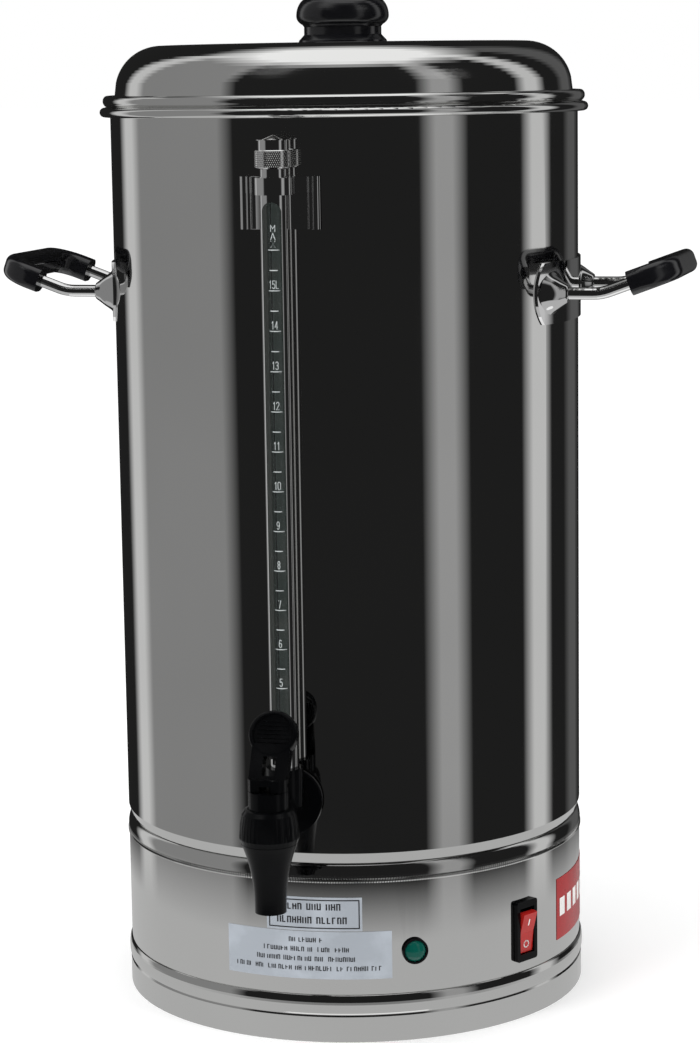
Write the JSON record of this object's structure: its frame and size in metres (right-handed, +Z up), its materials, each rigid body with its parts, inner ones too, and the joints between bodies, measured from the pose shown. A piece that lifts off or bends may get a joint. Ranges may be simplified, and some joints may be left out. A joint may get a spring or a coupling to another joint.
{
  "type": "electric hot-water urn",
  "caption": "Upright polished-steel electric urn that heats water or wort, with a lift-off lid, side handles, a sight gauge and a lever tap at the front.",
  "frame": {"origin": "centre of the base ring's resting face on the vessel's axis, at floor level", "axes": "+Z up along the vessel's axis; the tap and the sight gauge face -Y; the switch is on the +X side"},
  "size_m": [0.376, 0.3232, 0.541],
  "materials": {
    "polished_steel": "mirror polished stainless steel",
    "satin_steel": "satin stainless steel",
    "chrome": "bright chrome plate",
    "fastener_steel": "machined steel",
    "aluminium": "cast, matt",
    "element_steel": "heat-tinted sheath",
    "ceramic": "unglazed steatite",
    "black_bakelite": "glossy phenolic",
    "black_plastic": "moulded, satin gloss",
    "red_plastic": "translucent gloss",
    "green_lens": "tinted clear lens",
    "brass": "machined",
    "rubber": "matt silicone",
    "gauge_glass": "clear tube",
    "scale_black": "dark backing strip",
    "knob_insert": "satin disc",
    "label_pale": "printed film",
    "label_red": "printed film"
  },
  "bodies": {
    "urn": {"vessel_wall": "polished_steel", "vessel_bottom": "satin_steel", "base_skirt": "polished_steel", "base_ring": "polished_steel", "bottom_cover": "satin_steel", "rubber_feet": "rubber", "cover_screws": "fastener_steel", "heat_spreader": "aluminium", "heating_element": "element_steel", "thermostat": "ceramic", "thermal_cutout": "black_bakelite", "control_bracket": "satin_steel", "bracket_screws": "fastener_steel", "terminal_block": "ceramic", "cable_gland": "black_plastic", "gland_nut": "black_plastic", "earth_stud": "brass", "switch_housing": "black_plastic", "switch_terminals": "brass", "pilot_lamp_body": "black_plastic", "pilot_lamp_lens": "green_lens", "handle_left_plate": "chrome", "handle_right_plate": "chrome", "handle_left_rod": "chrome", "handle_right_rod": "chrome", "handle_left_grip": "black_bakelite", "handle_right_grip": "black_bakelite", "handle_ferrules": "chrome", "handle_nuts": "fastener_steel", "gauge_bracket": "chrome", "gauge_bracket_screws": "fastener_steel", "gauge_shield": "chrome", "gauge_glass": "gauge_glass", "gauge_scale": "scale_black", "gauge_top_fitting": "chrome", "gauge_seals": "rubber", "gauge_base": "black_plastic", "tap_shank": "black_plastic", "tap_body": "black_plastic", "tap_bonnet": "black_plastic", "tap_collar": "black_plastic", "tap_outer_washer": "rubber", "tap_inner_washer": "rubber", "tap_nut": "fastener_steel", "tap_spring": "fastener_steel", "label_upper": "label_pale", "label_lower": "label_pale", "label_side": "label_red"},
    "lid": {"lid_shell": "polished_steel", "knob_base": "black_bakelite", "lid_knob": "black_bakelite", "knob_insert": "knob_insert", "knob_screw": "fastener_steel"},
    "tap_stem": {"tap_stem": "fastener_steel", "tap_seat_cup": "rubber", "tap_lever_pin": "fastener_steel"},
    "tap_lever": {"tap_lever": "black_plastic"},
    "rocker": {"rocker": "red_plastic"},
    "gauge_cap": {"gauge_cap": "chrome"}
  },
  "joints": [
    {"name": "lid_lift", "type": "slide", "parent": "urn", "child": "lid", "axis": [0, 0, 1], "range_m": [0, 0.25]},
    {"name": "tap_stem_lift", "type": "slide", "parent": "urn", "child": "tap_stem", "axis": [0, 0, 1], "range_m": [0, 0.0049], "stiffness_N_per_m": 100, "springref_m": -0.005, "deforming": ["tap_spring"]},
    {"name": "tap_lever_tilt", "type": "hinge", "parent": "tap_stem", "child": "tap_lever", "pos_m": [0, -0.167, 0.1483], "axis": [1, 0, 0], "range_deg": [0, 45]},
    {"name": "rocker_tilt", "type": "hinge", "parent": "urn", "child": "rocker", "pos_m": [0.10597, -0.06045, 0.048], "axis": [-0.4955, -0.8686, 0], "range_deg": [0, 20]},
    {"name": "gauge_cap_turn", "type": "hinge", "parent": "urn", "child": "gauge_cap", "pos_m": [0, -0.137, 0.46], "axis": [0, 0, 1], "range_deg": [0, 720]}
  ],
  "couplings": [
    {"joint": "tap_lever_tilt", "follows": "tap_stem_lift", "rad_per_m": 160.28}
  ]
}
